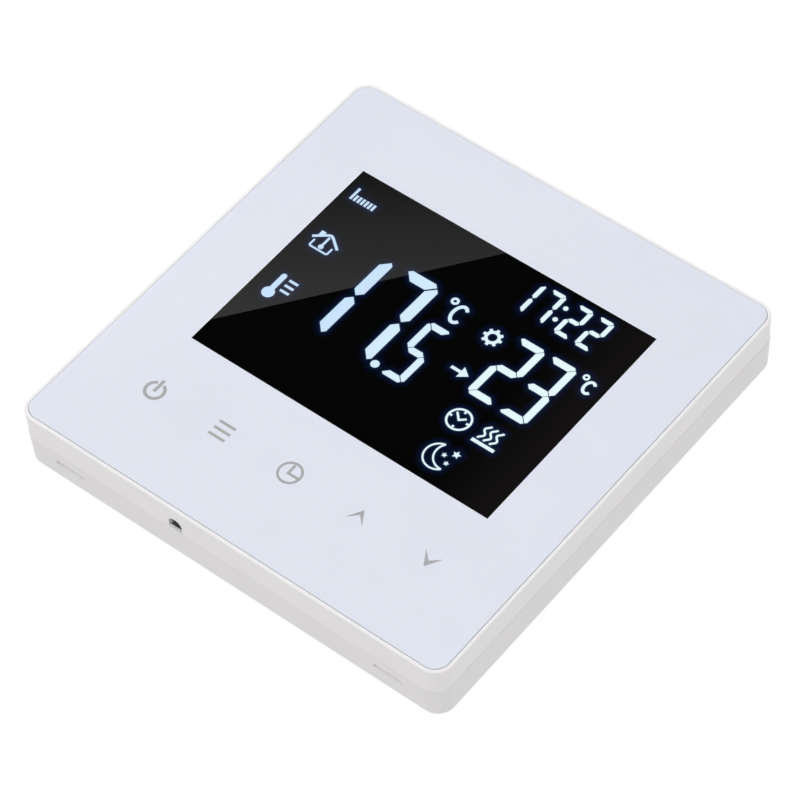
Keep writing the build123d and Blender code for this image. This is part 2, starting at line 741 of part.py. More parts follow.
# Terminal screws, held in their wells, and the cages that climb them
for number in range(1, terminal_ways + 1):
    with BuildPart() as terminal_screw:
        with BuildSketch(facing(head_back, x=way_x(number), z=screw_z)):
            Circle(terminal_screw_head_radius)
        extrude(amount=terminal_screw_head_height)
        with BuildSketch(facing(head_front, x=way_x(number), z=screw_z)):
            Circle(terminal_screw_radius)
        extrude(amount=screw_tip - head_front)
        with BuildSketch(facing(head_back, x=way_x(number), z=screw_z)):
            Rectangle(2 * terminal_screw_head_radius, terminal_screw_slot_width)
        extrude(amount=terminal_screw_slot_depth, mode=Mode.SUBTRACT)
    terminal_screw.part.label = f"terminal_screw_{number}"
    export_step(terminal_screw.part, f"parts/terminal_screw_{number}.step")

    with BuildPart() as terminal_cage:
        with BuildSketch(facing(cage_rear, x=way_x(number), z=screw_z)):
            Rectangle(cage_width, cage_depth)
        extrude(amount=cage_length)
        with BuildSketch(facing(cage_window_rear, x=way_x(number), z=screw_z)):
            Rectangle(cage_width - 2 * cage_wall, cage_depth)
        extrude(amount=cage_window_front - cage_window_rear, mode=Mode.SUBTRACT)
        with BuildSketch(facing(cage_rear, x=way_x(number), z=screw_z)):
            Circle(terminal_screw_radius + thread_clearance)
        extrude(amount=cage_top, mode=Mode.SUBTRACT)
    terminal_cage.part.label = f"terminal_cage_{number}"
    export_step(terminal_cage.part, f"parts/terminal_cage_{number}.step")
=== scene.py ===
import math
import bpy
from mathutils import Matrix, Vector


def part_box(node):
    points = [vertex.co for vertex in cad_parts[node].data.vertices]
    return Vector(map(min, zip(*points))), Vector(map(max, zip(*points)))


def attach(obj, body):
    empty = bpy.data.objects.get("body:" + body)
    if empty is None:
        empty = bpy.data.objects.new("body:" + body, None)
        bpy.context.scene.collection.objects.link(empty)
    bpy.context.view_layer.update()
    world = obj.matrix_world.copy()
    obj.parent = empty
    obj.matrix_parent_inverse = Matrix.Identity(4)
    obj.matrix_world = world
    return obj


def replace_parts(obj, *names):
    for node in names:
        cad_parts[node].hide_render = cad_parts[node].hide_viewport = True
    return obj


bl_info = {
    "name": "Wall Thermostat",
    "version": (1, 0, 0),
    "blender": (4, 5, 0),
    "location": "View3D > Sidebar > Thermostat",
    "description": "Dresses a wall thermostat: glass front, lit display, key marks, case and inner parts",
    "category": "Object",
}

from typing import NamedTuple

import bmesh
import bpy
from bpy.props import FloatProperty, FloatVectorProperty, PointerProperty
from bpy.types import Operator, Panel, PropertyGroup
from mathutils import Matrix, Vector
from mathutils.bvhtree import BVHTree

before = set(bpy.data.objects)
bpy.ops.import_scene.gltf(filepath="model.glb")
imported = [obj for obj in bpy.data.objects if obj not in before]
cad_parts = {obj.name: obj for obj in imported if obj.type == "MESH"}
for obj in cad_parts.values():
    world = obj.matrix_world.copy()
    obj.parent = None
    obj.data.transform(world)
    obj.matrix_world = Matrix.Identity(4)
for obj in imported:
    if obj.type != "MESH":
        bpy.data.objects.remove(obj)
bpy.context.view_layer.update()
GLASS_LOW, GLASS_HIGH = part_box("front_glass")

MM = 0.001
FRONT_BODY = "front_unit"
BASE_BODY = "base"
LIT = "display_lit"
GLOW = "glow"

# The glass stands back from the CAD glass by the room that the marks on it need
MARK_ROOM = 0.05 * MM
FRONT = GLASS_LOW.y + MARK_ROOM


# Settings


def colour_setting(name, description, default):
    """A colour that a user can change."""
    return FloatVectorProperty(
        name=name, description=description, default=default, size=3, min=0.0, max=1.0, subtype="COLOR"
    )


def length_setting(name, description, millimetres):
    """A length that a user can change, given here in millimetres."""
    default = millimetres * MM
    return FloatProperty(name=name, description=description, default=default, unit="LENGTH", precision=5)


def level_setting(name, description, default, **more):
    """A level or strength that a user can change."""
    return FloatProperty(name=name, description=description, default=default, min=0.0, **more)


class GlassSettings(PropertyGroup):
    """The white glass and the dark window in it."""

    white: colour_setting("White print", "Colour of the print behind the glass", (0.745, 0.775, 0.868))
    black: colour_setting("Window", "Colour of the dark display window", (0.0006, 0.0006, 0.0007))
    # The window's lighter right side is a painted reflection: a colour that stands for a faint reflection in
    # the glass
    haze: colour_setting("Window haze", "Colour of the window's lighter right side", (0.0062, 0.0052, 0.0056))
    ground: colour_setting("Ground edge", "Colour of the glass's ground edge", (0.62, 0.64, 0.70))
    reach: length_setting("Reach", "How far the glass reaches past its CAD outline towards the rim", 0.06)
    corner: length_setting("Corner", "Radius of the glass's corners", 2.64)
    edge: length_setting("Edge width", "Width of the ground front edge", 0.1)
    window_x: length_setting("Window across", "Middle of the window from the plate's middle", 0.285)
    window_z: length_setting("Window up", "Middle of the window above the plate's middle", 5.815)
    window_width: length_setting("Window width", "Width of the window", 60.49)
    window_height: length_setting("Window height", "Height of the window", 44.27)
    gloss: level_setting("Gloss", "Specular level of the glass", 0.01, max=1.0)


class DisplaySettings(PropertyGroup):
    """The lit marks of the display."""

    lit_left: colour_setting("Lit, left", "Colour of lit marks at the left end", (0.59, 0.77, 0.98))
    lit_right: colour_setting("Lit, right", "Colour of lit marks at the right end", (0.78, 0.95, 0.99))
    glow: colour_setting("Glow", "Colour of the light close round the lit marks", (0.020, 0.042, 0.105))
    glow_haze: colour_setting("Glow haze", "Colour of the fainter light beyond", (0.0006, 0.0040, 0.0200))
    glow_reach: length_setting("Glow reach", "How far the light spreads from the marks", 1.2)
    glow_cell: length_setting("Glow cell", "Size of the window's cells that carry the glow", 0.35)
    lift: length_setting("Mark lift", "Thickness of the lit marks", 0.045)


class KeySettings(PropertyGroup):
    """The printed marks of the five touch keys."""

    grey: colour_setting("Key print", "Colour of the key marks", (0.363, 0.358, 0.368))
    lift: length_setting("Print lift", "Thickness of the print", 0.02)
    middle: length_setting("Middle", "Middle key from the plate's middle", 0.25)
    row: length_setting("Row", "Height of the row of keys", -27.8)
    pitch: length_setting("Pitch", "Distance from key to key", 13.95)


class CaseSettings(PropertyGroup):
    """The two mouldings of the case."""

    cover: colour_setting("Cover", "Colour of the front cover", (0.857, 0.838, 0.846))
    base: colour_setting("Base", "Colour of the rear base", (0.806, 0.788, 0.796))
    grain: length_setting("Grain", "Size of the moulding's fine grain", 0.25)


class InsideSettings(PropertyGroup):
    """Boards, metal and parts inside the case."""

    board: colour_setting("Board", "Colour of the board's lacquer", (0.03, 0.19, 0.08))
    trace: colour_setting("Trace", "Colour of the tracks under the lacquer", (0.06, 0.30, 0.12))
    steel: colour_setting("Steel", "Colour of zinc-plated steel", (0.62, 0.63, 0.64))
    nickel: colour_setting("Nickel", "Colour of the nickel-plated cages", (0.64, 0.61, 0.56))
    brass: colour_setting("Brass", "Colour of the contacts and pins", (0.76, 0.58, 0.27))
    terminal: colour_setting("Terminal block", "Colour of the terminal moulding", (0.18, 0.19, 0.20))
    thread_pitch: length_setting("Thread pitch", "Pitch of the screws' thread", 0.7)


class StageSettings(PropertyGroup):
    """Floor, light and camera."""

    floor_level: length_setting("Floor", "Height of the floor", -1400.0)
    floor_tint: colour_setting("Floor colour", "Colour of the floor", (0.88, 0.88, 0.87))
    ambient: level_setting("Ambient", "Light from all round", 0.80)
    key_power: level_setting("Key power", "Power of the key lamp", 3.0, unit="POWER")
    sheen: level_setting("Sheen", "Brightness of the strip lamp that the glass mirrors", 26.0)
    lens: level_setting("Lens", "Focal length", 168.858, unit="CAMERA")


SETTINGS = {
    "thermostat_glass": GlassSettings,
    "thermostat_display": DisplaySettings,
    "thermostat_keys": KeySettings,
    "thermostat_case": CaseSettings,
    "thermostat_inside": InsideSettings,
    "thermostat_stage": StageSettings,
}


# Materials

BLACK = (0.0, 0.0, 0.0)
WHITE = (1.0, 1.0, 1.0)
UNTURNED = (0.0, 0.0, 0.0)
UNSCALED = (1.0, 1.0, 1.0)
QUARTER_TURN = math.pi / 2


def shade(colour, factor):
    """A colour made lighter or darker."""
    return tuple(min(1.0, part * factor) for part in colour)


def opaque(colour):
    """A colour as a socket takes it, with full alpha."""
    return (*colour, 1.0)


class Shading:
    """The nodes of a material or a world: a shader fed by textures on Object coordinates."""

    def __init__(self, owner, shader):
        owner.use_nodes = True
        self.tree = owner.node_tree
        self.shader = self.tree.nodes[shader]

    def fill(self, node, **values):
        """Give a node its settings and inputs by name. An input that gets another node's output is linked."""
        for name, value in values.items():
            socket = node.inputs.get(name.replace("_", " "))
            if socket is None:
                setattr(node, name, value)
            elif isinstance(value, bpy.types.NodeSocket):
                self.tree.links.new(value, socket)
            else:
                socket.default_value = value
        return node

    def node(self, kind, **values):
        """A new node with its settings and inputs."""
        return self.fill(self.tree.nodes.new(kind), **values)

    def set(self, **values):
        """Fill the shader's own sockets."""
        self.fill(self.shader, **values)

    def place(self, scale=UNSCALED, turn=UNTURNED):
        """Object coordinates, stretched and turned."""
        source = self.node("ShaderNodeTexCoord").outputs["Object"]
        return self.node("ShaderNodeMapping", Vector=source, Scale=scale, Rotation=turn).outputs["Vector"]

    def along(self, axis, turn=UNTURNED):
        """How far a point lies along one axis."""
        return self.node("ShaderNodeSeparateXYZ", Vector=self.place(turn=turn)).outputs[axis]

    def noise(self, size, detail=2.0, scale=UNSCALED):
        """Noise whose features are about one size across."""
        made = self.node("ShaderNodeTexNoise", Vector=self.place(scale), Scale=1.0 / size, Detail=detail)
        return made.outputs["Fac"]

    def cells(self, size, turn=UNTURNED, **values):
        """The outputs of a texture of cells of about one size."""
        place = self.place(turn=turn)
        return self.node("ShaderNodeTexVoronoi", Vector=place, Scale=1.0 / size, **values).outputs

    def ramp(self, factor, *stops):
        """A colour by a factor, through stops of a place and a colour, in order."""
        made = self.node("ShaderNodeValToRGB", Fac=factor)
        for place, _ in stops[1:-1]:
            made.color_ramp.elements.new(place)
        for element, (place, colour) in zip(made.color_ramp.elements, stops):
            element.position = place
            element.color = opaque(colour)
        return made.outputs["Color"]

    def blend(self, factor, low, high, start=0.3, stop=0.7):
        """A colour between two, by a factor."""
        return self.ramp(factor, (start, low), (stop, high))

    def vary(self, factor, colour, dark, light):
        """A colour between two shades of itself, by a factor."""
        return self.blend(factor, shade(colour, dark), shade(colour, light))

    def mix(self, kind, factor, low, high):
        """A mixture of two colours or numbers."""
        return self.node("ShaderNodeMix", data_type=kind, Factor=factor, A=low, B=high).outputs["Result"]

    def span(self, value, low=0.0, high=1.0, start=0.0, stop=1.0):
        """A number that goes from low to high while a value goes from start to stop."""
        ends = {"From_Min": start, "From_Max": stop, "To_Min": low, "To_Max": high}
        return self.node("ShaderNodeMapRange", Value=value, **ends).outputs["Result"]

    def bump(self, height, distance, strength=0.5):
        """Relief in the shading, by a height."""
        made = self.node("ShaderNodeBump", Height=height, Distance=distance, Strength=strength)
        self.set(Normal=made.outputs["Normal"])


class Finish(Shading):
    """The shading of a new material."""

    def __init__(self, name):
        self.material = bpy.data.materials.new(name)
        super().__init__(self.material, "Principled BSDF")


def moulded_plastic(name, colour, roughness, grain):
    """Satin moulded plastic with a slight mottle and a fine grain."""
    spread, mottle_size = 0.04, 24 * grain
    finish = Finish(name)
    mottle = finish.noise(mottle_size)
    finish.set(
        Base_Color=finish.vary(mottle, colour, dark=0.985, light=1.01),
        Roughness=finish.span(mottle, low=roughness - spread, high=roughness + spread),
    )
    finish.bump(finish.noise(grain, detail=4.0), distance=0.006 * MM)
    return finish.material


def plated_metal(name, colour, roughness, lay):
    """Plated metal with the fine streaks that drawing or turning leaves along one direction."""
    smoother, rougher = 0.06, 0.08
    finish = Finish(name)
    streak = finish.noise(size=0.4 * MM, detail=3.0, scale=lay)
    finish.set(
        Base_Color=finish.vary(streak, colour, dark=0.88, light=1.06),
        Roughness=finish.span(streak, low=roughness - smoother, high=roughness + rougher),
        Metallic=1.0,
    )
    finish.bump(streak, distance=0.004 * MM, strength=0.3)
    return finish.material


def board_tracks(finish, turn):
    """Thin parallel tracks with a few joints between them: 1 on a track, 0 beside it."""
    lines = finish.node(
        "ShaderNodeTexBrick", Vector=finish.place(turn=turn), Scale=1.0 / MM, offset=0.37,
        Brick_Width=14.0, Row_Height=1.1, Mortar_Size=0.11,
    )
    return lines.outputs["Fac"]


def circuit_board(name, lacquer, track):
    """Lacquered board: blocks of tracks that run across or up, plain blocks, and small bright vias."""
    upright, sideways = (QUARTER_TURN, 0.0, 0.0), (QUARTER_TURN, 0.0, QUARTER_TURN)
    tinned = (0.55, 0.50, 0.36)
    finish = Finish(name)
    blocks = finish.cells(size=13 * MM, turn=upright, distance="CHEBYCHEV")
    chance = finish.node("ShaderNodeSeparateColor", Color=blocks["Color"]).outputs
    runs_up = finish.blend(chance["Red"], BLACK, WHITE, start=0.49, stop=0.51)
    tracked = finish.blend(chance["Green"], WHITE, BLACK, start=0.69, stop=0.71)
    lines = finish.mix("FLOAT", runs_up, board_tracks(finish, upright), board_tracks(finish, sideways))
    tint = finish.mix("RGBA", lines, opaque(lacquer), opaque(track))
    plain = finish.vary(finish.noise(size=6 * MM), track, dark=0.62, light=0.72)
    green = finish.mix("RGBA", tracked, plain, tint)
    vias = finish.cells(size=3.2 * MM, turn=upright)
    dots = finish.blend(vias["Distance"], WHITE, BLACK, start=0.10, stop=0.13)
    finish.set(
        Base_Color=finish.mix("RGBA", dots, green, opaque(tinned)),
        Roughness=finish.span(lines, low=0.28, high=0.38),
    )
    finish.bump(lines, distance=0.02 * MM)
    return finish.material


def foam(name, colour):
    """Open-cell foam."""
    finish = Finish(name)
    hollows = finish.cells(size=0.5 * MM)["Distance"]
    finish.set(Base_Color=finish.vary(hollows, colour, dark=0.5, light=1.3), Roughness=0.95)
    finish.bump(hollows, distance=0.15 * MM)
    return finish.material


def clear_acrylic(name, colour):
    """Clear light guide with a fine pattern of dots on its back."""
    finish = Finish(name)
    dots = finish.cells(size=0.8 * MM)["Distance"]
    tint = finish.blend(dots, WHITE, colour)
    finish.set(Base_Color=tint, Transmission_Weight=0.7, Roughness=0.12, IOR=1.49)
    return finish.material


def printed_glass(name, colour, gloss):
    """Glass over a white print: an even colour with a very faint cloudiness, smooth and glossy."""
    finish = Finish(name)
    cloud = finish.noise(size=14 * MM)
    finish.set(
        Base_Color=finish.vary(cloud, colour, dark=0.992, light=1.006),
        Roughness=finish.span(cloud, low=0.05, high=0.08),
        Specular_IOR_Level=gloss,
    )
    return finish.material


def window_glass(name, colour, haze, gloss, reach):
    """Dark display glass with a painted reflection: its colour grows lighter towards its right side."""
    finish = Finish(name)
    share = finish.span(finish.along("X"), start=-reach, stop=reach)
    # Painted reflection: the colour turns lighter over the right side of the glass
    tint = finish.blend(share, colour, haze, start=0.8, stop=1.0)
    finish.set(Base_Color=tint, Roughness=0.0, Specular_IOR_Level=gloss)
    return finish


def glowing_glass(name, glass, display):
    """The display window: dark glass with the faint light that the lit marks spread in it."""
    haze_share = 0.77
    finish = window_glass(name, glass.black, glass.haze, glass.gloss, glass.window_width / 2)
    near = finish.node("ShaderNodeAttribute", attribute_name=GLOW).outputs["Fac"]
    tint = finish.ramp(near, (0.0, BLACK), (haze_share, display.glow_haze), (1.0, display.glow))
    finish.set(Emission_Color=tint, Emission_Strength=1.0)
    return finish.material


def lit_mark(name, left, right, reach):
    """Lit display marks, bluer at one end of the display than at the other."""
    finish = Finish(name)
    share = finish.span(finish.along("X"), start=-reach, stop=reach)
    tint = finish.blend(share, left, right, start=0.25, stop=0.75)
    finish.set(Base_Color=opaque(BLACK), Specular_IOR_Level=0.0, Emission_Color=tint, Emission_Strength=1.0)
    return finish.material


def key_print(name, colour):
    """Warm grey screen print."""
    finish = Finish(name)
    ink = finish.noise(size=0.15 * MM, detail=3.0)
    finish.set(
        Base_Color=finish.vary(ink, colour, dark=0.94, light=1.06),
        Roughness=finish.span(ink, low=0.35, high=0.5),
    )
    return finish.material


def shared(name, maker, **values):
    """A material that several pieces use, made once."""
    return bpy.data.materials.get(name) or maker(name, **values)


def turned_steel(inside):
    """The steel of all the screws."""
    return shared("turned_steel", plated_metal, colour=inside.steel, roughness=0.3, lay=(1.0, 0.15, 1.0))


def dress(material, *nodes):
    """Give CAD nodes their finish."""
    for node in nodes:
        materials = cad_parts[node].data.materials
        materials.clear()
        materials.append(material)


# Shapes


def stand_up(place):
    """A transform that stands a flat shape up at a place."""
    return Matrix.Translation(place) @ Matrix.Rotation(QUARTER_TURN, 4, "X")


def points_of(made):
    """The points among what a mesh operator made."""
    return [item for item in made["geom"] if isinstance(item, bmesh.types.BMVert)]


def flat_grid(width, height, columns=1, rows=1):
    """A flat grid of cells round the origin."""
    bm = bmesh.new()
    bmesh.ops.create_grid(bm, x_segments=columns, y_segments=rows, size=0.5)
    bmesh.ops.scale(bm, vec=(width, height, 1.0), verts=bm.verts)
    return bm


def closed_line(bm, points):
    """A closed line of edges through points."""
    verts = [bm.verts.new(point) for point in points]
    return [bm.edges.new(pair) for pair in zip(verts, verts[1:] + verts[:1])]


def arc(x, z, across, up, start, stop, steps=28):
    """Points along a part of an ellipse."""
    angles = [math.radians(start + (stop - start) * step / steps) for step in range(steps + 1)]
    return [(x + across * math.cos(angle), z + up * math.sin(angle)) for angle in angles]


def spot(x, z, radius, angle):
    """The point at a distance and an angle from another."""
    return x + radius * math.cos(math.radians(angle)), z + radius * math.sin(math.radians(angle))


def crossing_angle(apart, near, far):
    """The angle at one circle's middle from the other's middle to a point where the two cross."""
    return math.degrees(math.acos((apart**2 + near**2 - far**2) / (2 * apart * near)))


class Drawing:
    """Flat marks on the front of the glass, in millimetres from an origin."""

    def __init__(self, x, z):
        self.bm = bmesh.new()
        self.origin = Vector((x, FRONT, z))

    def point(self, x, z):
        """A point of the drawing in the shared frame."""
        return self.origin + Vector((x, 0.0, z)) * MM

    def polygon(self, points):
        """A flat face through a few points."""
        self.bm.faces.new([self.bm.verts.new(self.point(x, z)) for x, z in points])

    def disc(self, x, z, radius, segments=32):
        """A round dot."""
        place = stand_up(self.point(x, z))
        bmesh.ops.create_circle(self.bm, cap_ends=True, segments=segments, radius=radius * MM, matrix=place)

    def ring(self, x, z, outer, inner, start=0.0, stop=360.0, segments=48):
        """A ring, or a part of one between two angles."""
        ends = [self.bm.verts.new(self.point(*spot(x, z, radius, start))) for radius in (inner, outer)]
        spoke = self.bm.edges.new(ends)
        sweep = stop - start
        bmesh.ops.spin(
            self.bm, geom=[*ends, spoke], cent=self.point(x, z), axis=(0.0, -1.0, 0.0),
            angle=math.radians(sweep), steps=round(segments * sweep / 360.0), use_merge=sweep >= 360.0,
        )

    def stroke(self, points, width):
        """A line of one width along points, with mitred corners."""
        path = [Vector(point) for point in points]
        runs = [(b - a).normalized() for a, b in zip(path, path[1:])]
        left, right = [], []
        for before, after, point in zip(runs[:1] + runs, runs + runs[-1:], path):
            lean = (before + after).normalized()
            across = Vector((-lean.y, lean.x)) * (width / 2 / lean.dot(after))
            left.append(self.bm.verts.new(self.point(*(point + across))))
            right.append(self.bm.verts.new(self.point(*(point - across))))
        sides = [self.bm.edges.new(pair) for side in (left, right) for pair in zip(side, side[1:])]
        bmesh.ops.bridge_loops(self.bm, edges=sides)

    def number(self, figures, foot, style):
        """Leaning seven-segment digits on one line, each with the place of its upper right corner."""
        for figure, right in figures:
            left = right - style.width
            for letter in SEGMENTS[figure]:
                outline = segment_outline(letter, style)
                self.polygon((left + x - style.slant * (style.height - z), foot + z) for x, z in outline)

    def celsius(self, degree, outer, inner, left, right, foot, top, width):
        """A small ring for the degree and the letter for Celsius."""
        half_gap = 42.0
        self.ring(*degree, outer, inner, segments=24)
        across, up = (right - left - width) / 2, (top - foot - width) / 2
        self.stroke(arc((left + right) / 2, (foot + top) / 2, across, up, half_gap, 360.0 - half_gap), width)


class DigitStyle(NamedTuple):
    """The form of a seven-segment digit, in millimetres. The slant is sideways over height."""

    height: float
    width: float
    stroke: float
    gap: float
    slant: float


# Segment a is the top one, b to f follow clockwise, and g is the one across the middle
SEGMENTS = {"1": "bc", "2": "abged", "3": "abgcd", "5": "afgcd", "7": "abc"}

# The share of a stroke's width that is cut off a digit's outer corners
CORNER_CUT = 0.55


def segment_outline(letter, style):
    """The corners of one segment, from the digit's lower left corner."""
    height, width, bar, gap, _ = style
    cut = bar * CORNER_CUT
    middle = height / 2
    if letter in "ad":
        half = [(gap + cut, height), (gap + cut / 2, height - cut / 2), (gap + bar, height - bar)]
        points = half + [(width - x, z) for x, z in reversed(half)]
    elif letter == "g":
        half = [(gap + bar, middle + bar / 2), (gap + bar / 2, middle), (gap + bar, middle - bar / 2)]
        points = half + [(width - x, z) for x, z in reversed(half)]
    else:
        points = [
            (width, height - gap - cut), (width - cut / 2, height - gap - cut / 2),
            (width - bar, height - gap - bar), (width - bar, middle + gap + bar / 2),
            (width - bar / 2, middle + gap), (width, middle + gap + bar / 2),
        ]
    if letter in "cde":
        points = [(x, height - z) for x, z in points]
    if letter in "ef":
        points = [(width - x, z) for x, z in points]
    return points


def thicken(bm, lift):
    """Turn flat marks to the room and give them a thickness towards it."""
    bm.normal_update()
    away = [face for face in bm.faces if face.normal.y > 0]
    bmesh.ops.reverse_faces(bm, faces=away)
    raised = points_of(bmesh.ops.extrude_face_region(bm, geom=bm.faces[:]))
    bmesh.ops.translate(bm, verts=raised, vec=(0.0, -lift, 0.0))
    bmesh.ops.recalc_face_normals(bm, faces=bm.faces[:])


def scene_object(name, data):
    """A new object in the scene."""
    made = bpy.data.objects.new(name, data)
    bpy.context.scene.collection.objects.link(made)
    return made


def mesh_object(bm, name, materials):
    """Make a finished mesh an object in the scene."""
    mesh = bpy.data.meshes.new(name)
    bm.to_mesh(mesh)
    bm.free()
    for material in materials:
        mesh.materials.append(material)
    return scene_object(name, mesh)


def piece(bm, name, materials, body=FRONT_BODY):
    """Make a finished mesh a piece that moves with a body."""
    made = mesh_object(bm, name, materials)
    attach(made, body)
    return made


def mark_piece(draw, x, z, lift, material):
    """Draw marks round a place on the glass and make them a piece with the drawing function's name."""
    mark = Drawing(x, z)
    draw(mark)
    thicken(mark.bm, lift)
    piece(mark.bm, draw.__name__, [material])


def lit_pieces(scene, draws):
    """Make lit pieces of what some functions draw from the window's middle."""
    glass, display = scene.thermostat_glass, scene.thermostat_display
    reach = glass.window_width / 2
    lit = shared(LIT, lit_mark, left=display.lit_left, right=display.lit_right, reach=reach)
    for draw in draws:
        mark_piece(draw, glass.window_x, glass.window_z, display.lift, lit)


# Case


class THERMOSTAT_OT_case(Operator):
    """Finish the front cover and the rear base as satin white mouldings"""

    bl_idname = "thermostat.case"
    bl_label = "Case"

    def execute(self, context):
        case = context.scene.thermostat_case
        dress(moulded_plastic("cover_white", case.cover, roughness=0.42, grain=case.grain), "front_cover")
        dress(moulded_plastic("base_white", case.base, roughness=0.5, grain=case.grain), "rear_base")
        return {"FINISHED"}


# Glass front

# An edge is sharp from this angle on, in radians
SHARP_ANGLE = 1.0

# A face is flat where at least this much of its normal points straight to the room or the wall
FLAT_FACING = 0.99


def on_rim(edge, half, glass):
    """Whether an edge is a sharp one on the outer rim of the glass's front."""
    in_front = all(vert.co.y < FRONT + glass.edge / 2 for vert in edge.verts)
    at_rim = all(
        abs(vert.co.x) > half.x - glass.corner or abs(vert.co.z) > half.z - glass.corner
        for vert in edge.verts
    )
    return in_front and at_rim and edge.calc_face_angle(0.0) > SHARP_ANGLE


class THERMOSTAT_OT_glass(Operator):
    """Build the white glass: a rounded plate with the window's opening and a ground front edge"""

    bl_idname = "thermostat.glass"
    bl_label = "Glass front"

    def execute(self, context):
        glass = context.scene.thermostat_glass
        half = (GLASS_HIGH - GLASS_LOW) / 2
        bm = flat_grid(2 * (half.x + glass.reach), 2 * (half.z + glass.reach))
        bmesh.ops.bevel(
            bm, geom=bm.verts[:], offset=glass.corner, segments=10, profile=0.5, affect="VERTICES",
            material=-1,
        )
        bmesh.ops.transform(bm, matrix=stand_up((0.0, GLASS_HIGH.y, 0.0)), verts=bm.verts)
        bmesh.ops.delete(bm, geom=bm.faces[:], context="FACES_ONLY")
        outline = bm.edges[:]
        across, up = glass.window_width / 2, glass.window_height / 2
        corners = ((-across, -up), (across, -up), (across, up), (-across, up))
        window = [(glass.window_x + x, GLASS_HIGH.y, glass.window_z + z) for x, z in corners]
        bmesh.ops.bridge_loops(bm, edges=outline + closed_line(bm, window))
        thicken(bm, GLASS_HIGH.y - FRONT)
        rim = [edge for edge in bm.edges if on_rim(edge, half, glass)]
        bmesh.ops.bevel(
            bm, geom=rim, offset=glass.edge, segments=3, profile=0.5, affect="EDGES", material=-1
        )
        bm.normal_update()
        for face in bm.faces:
            face.material_index = 0 if abs(face.normal.y) > FLAT_FACING else 1
        white = printed_glass("white_glass", glass.white, glass.gloss)
        ground = printed_glass("ground_glass", glass.ground, glass.gloss)
        made = piece(bm, "glass_panel", [white, ground])
        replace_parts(made, "front_glass")
        return {"FINISHED"}


# Lit marks: all places are in millimetres from the window's middle

ROOM_STYLE = DigitStyle(height=19.55, width=7.5, stroke=2.0, gap=0.24, slant=0.014)
TENTH_STYLE = DigitStyle(height=13.0, width=4.55, stroke=1.22, gap=0.11, slant=0.02)
SET_STYLE = DigitStyle(height=14.0, width=5.45, stroke=1.26, gap=0.1, slant=0.022)
TIME_STYLE = DigitStyle(height=7.1, width=3.15, stroke=0.79, gap=0.1, slant=0.022)


def room_reading(mark):
    """The room's temperature in large digits."""
    foot = -9.5
    mark.number((("1", -13.3), ("7", -3.85)), foot, ROOM_STYLE)
    mark.disc(x=-2.95, z=-8.68, radius=0.75)
    mark.number((("5", 3.28),), foot, TENTH_STYLE)
    mark.celsius((-0.58, 9.13), outer=0.74, inner=0.3, left=0.2, right=3.0, foot=5.1, top=9.35, width=0.6)


def wheel(mark, x, z, teeth=8):
    """A toothed wheel with a round hole."""
    outer, body, hole = 1.78, 1.37, 0.81
    root, tip, sink = 13.0, 8.0, 0.1
    mark.ring(x, z, body, hole)
    for tooth in range(teeth):
        angle = 360.0 * tooth / teeth
        corners = ((body - sink, -root), (outer, -tip), (outer, tip), (body - sink, root))
        mark.polygon(spot(x, z, radius, angle + lean) for radius, lean in corners)


def arrow(mark, left, right, z):
    """An arrow that points to the set temperature."""
    head, half, shaft = 1.6, 1.17, 0.55
    mark.stroke([(left, z), (right - head + shaft / 2, z)], shaft)
    mark.polygon([(right - head, z - half), (right, z), (right - head, z + half)])


def set_reading(mark):
    """The set temperature, with the wheel and the arrow beside it."""
    mark.number((("2", 17.81), ("3", 24.16)), foot=-4.41, style=SET_STYLE)
    mark.celsius((25.9, 9.2), outer=0.6, inner=0.26, left=26.4, right=28.6, foot=6.2, top=9.2, width=0.52)
    wheel(mark, x=8.9, z=6.75)
    arrow(mark, left=7.2, right=10.7, z=-1.83)


def time_reading(mark):
    """The time of day."""
    dot_radius = 0.44
    mark.number((("1", 9.6), ("7", 13.68), ("2", 19.13), ("2", 23.3)), foot=13.46, style=TIME_STYLE)
    for x, z in ((14.75, 18.5), (14.72, 15.7)):
        mark.disc(x, z, dot_radius)


class THERMOSTAT_OT_readings(Operator):
    """Build the lit readings: the room's temperature, the set temperature and the time"""

    bl_idname = "thermostat.readings"
    bl_label = "Display readings"

    def execute(self, context):
        lit_pieces(context.scene, (room_reading, set_reading, time_reading))
        return {"FINISHED"}


def day_row(mark):
    """Seven bars for the days of the week, the first one tall."""
    left, foot, pitch, width = -28.4, 16.05, 0.74, 0.44
    days, short, tall = 7, 1.3, 2.7
    for day in range(days):
        top = foot + (short if day else tall)
        x = left + day * pitch
        mark.polygon([(x, foot), (x + width, foot), (x + width, top), (x, top)])


def house_symbol(mark):
    """A house with a chimney and a thermometer in it."""
    middle, eaves, ridge, foot = -25.5, 6.1, 7.95, 4.32
    roof_half, roof_line, crown_half, crown_drop = 2.65, 0.46, 0.5, 0.2
    wall_half, wall_line, wall_drop, corner_cut = 1.85, 0.32, 0.3, 0.2
    stem_top, stem_foot, stem_line = 7.45, 4.95, 0.4
    bulb, bulb_radius = 5.1, 0.48
    chimney = [(-2.0, 6.75), (-1.1, 7.4), (-1.1, 8.0), (-2.0, 8.0)]
    flank = [(-roof_half, eaves), (-crown_half, ridge - crown_drop)]
    roof = flank + [(0.0, ridge)] + [(-x, z) for x, z in reversed(flank)]
    wall = [(wall_half, eaves - wall_drop), (wall_half, foot + corner_cut), (wall_half - corner_cut, foot)]
    walls = [(-x, z) for x, z in wall] + wall[::-1]
    mark.stroke([(middle + x, z) for x, z in roof], roof_line)
    mark.polygon((middle + x, z) for x, z in chimney)
    mark.stroke([(middle + x, z) for x, z in walls], wall_line)
    mark.stroke([(middle, stem_top), (middle, stem_foot)], stem_line)
    mark.disc(middle, bulb, bulb_radius, segments=20)


